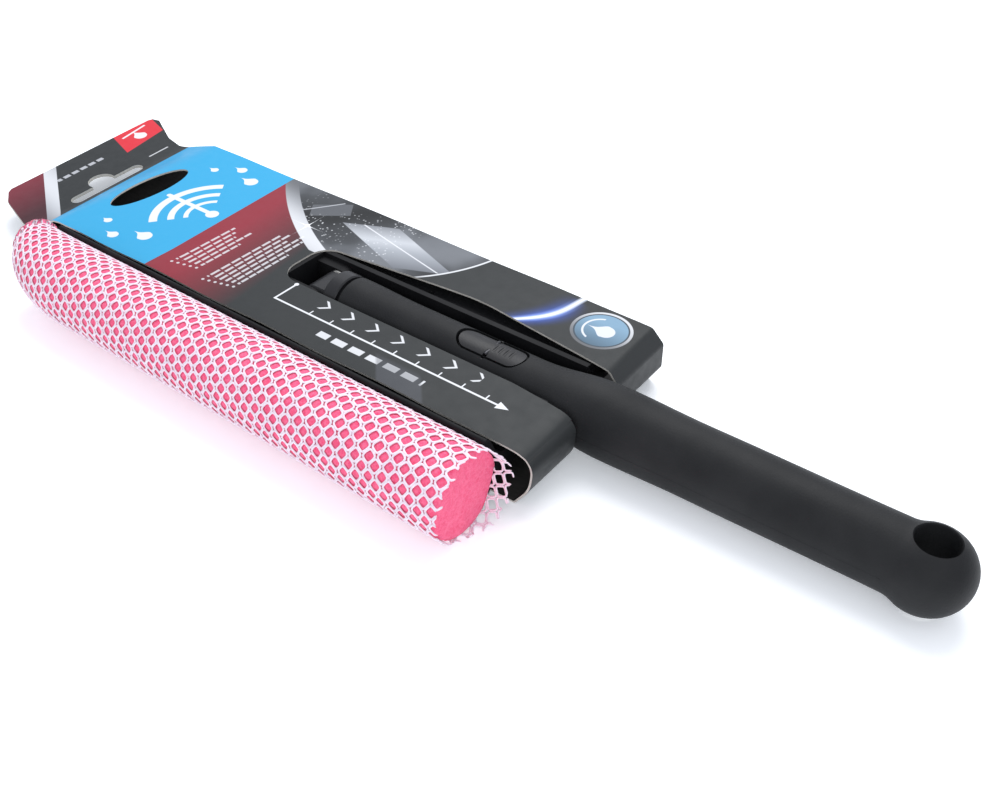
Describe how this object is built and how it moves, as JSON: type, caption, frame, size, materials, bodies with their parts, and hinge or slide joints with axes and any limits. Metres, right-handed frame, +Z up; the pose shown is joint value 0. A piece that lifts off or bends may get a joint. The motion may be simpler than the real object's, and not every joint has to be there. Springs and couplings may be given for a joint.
{
  "type": "car window wiper",
  "caption": "Folding, extending car window wiper with a net-covered foam roll, a rubber blade and a telescopic handle, lying in its printed card sleeve.",
  "frame": {"origin": "middle of the whole object's box, on the ground it lies on", "axes": "+X along the folded handle towards its hanging hole, +Y from the foam roll to the blade, +Z up"},
  "size_m": [0.42, 0.1296, 0.032],
  "materials": {
    "black_moulding": "fine spark texture",
    "black_frame": "satin moulded",
    "pad_rubber": "matt",
    "blade_rubber": "smooth",
    "pink_foam": "fine open-cell foam",
    "white_net": "knitted polyester mesh",
    "pale_plastic": "natural",
    "zinc_steel": "zinc plated",
    "black_tube": "satin coating",
    "printed_card": "varnished print on board"
  },
  "bodies": {
    "head": {"head_frame": "black_frame", "blade_clamp": "black_frame", "clamp_screws": "zinc_steel", "rubber_blade": "blade_rubber", "foam_roll": "pink_foam", "net_sleeve": "white_net", "net_rod": "pale_plastic", "hinge_pin": "zinc_steel", "pin_clips": "zinc_steel", "friction_washers": "zinc_steel", "card_front": "printed_card", "card_end": "printed_card", "card_back": "printed_card"},
    "stem": {"knuckle": "black_moulding", "inner_tube": "black_tube", "tube_rivet": "zinc_steel", "end_bush": "pale_plastic"},
    "grip": {"grip": "black_moulding", "collar": "black_moulding", "latch_axle": "zinc_steel", "latch_spring": "zinc_steel"},
    "latch": {"thumb_latch": "black_moulding", "brake_pad": "pad_rubber"}
  },
  "joints": [
    {"name": "handle_fold", "type": "hinge", "parent": "head", "child": "stem", "pos_m": [-0.038, 0.0088, 0.0137], "axis": [0, -1, 0], "range_deg": [0, 90]},
    {"name": "handle_extend", "type": "slide", "parent": "stem", "child": "grip", "axis": [1, 0, 0], "range_m": [0, 0.14]},
    {"name": "latch_rock", "type": "hinge", "parent": "grip", "child": "latch", "pos_m": [0.042, 0.0088, 0.0222], "axis": [0, 1, 0], "range_deg": [0, 3.5], "stiffness_Nm_per_rad": 0.8, "springref_deg": -1.72, "deforming": ["latch_spring"]}
  ]
}
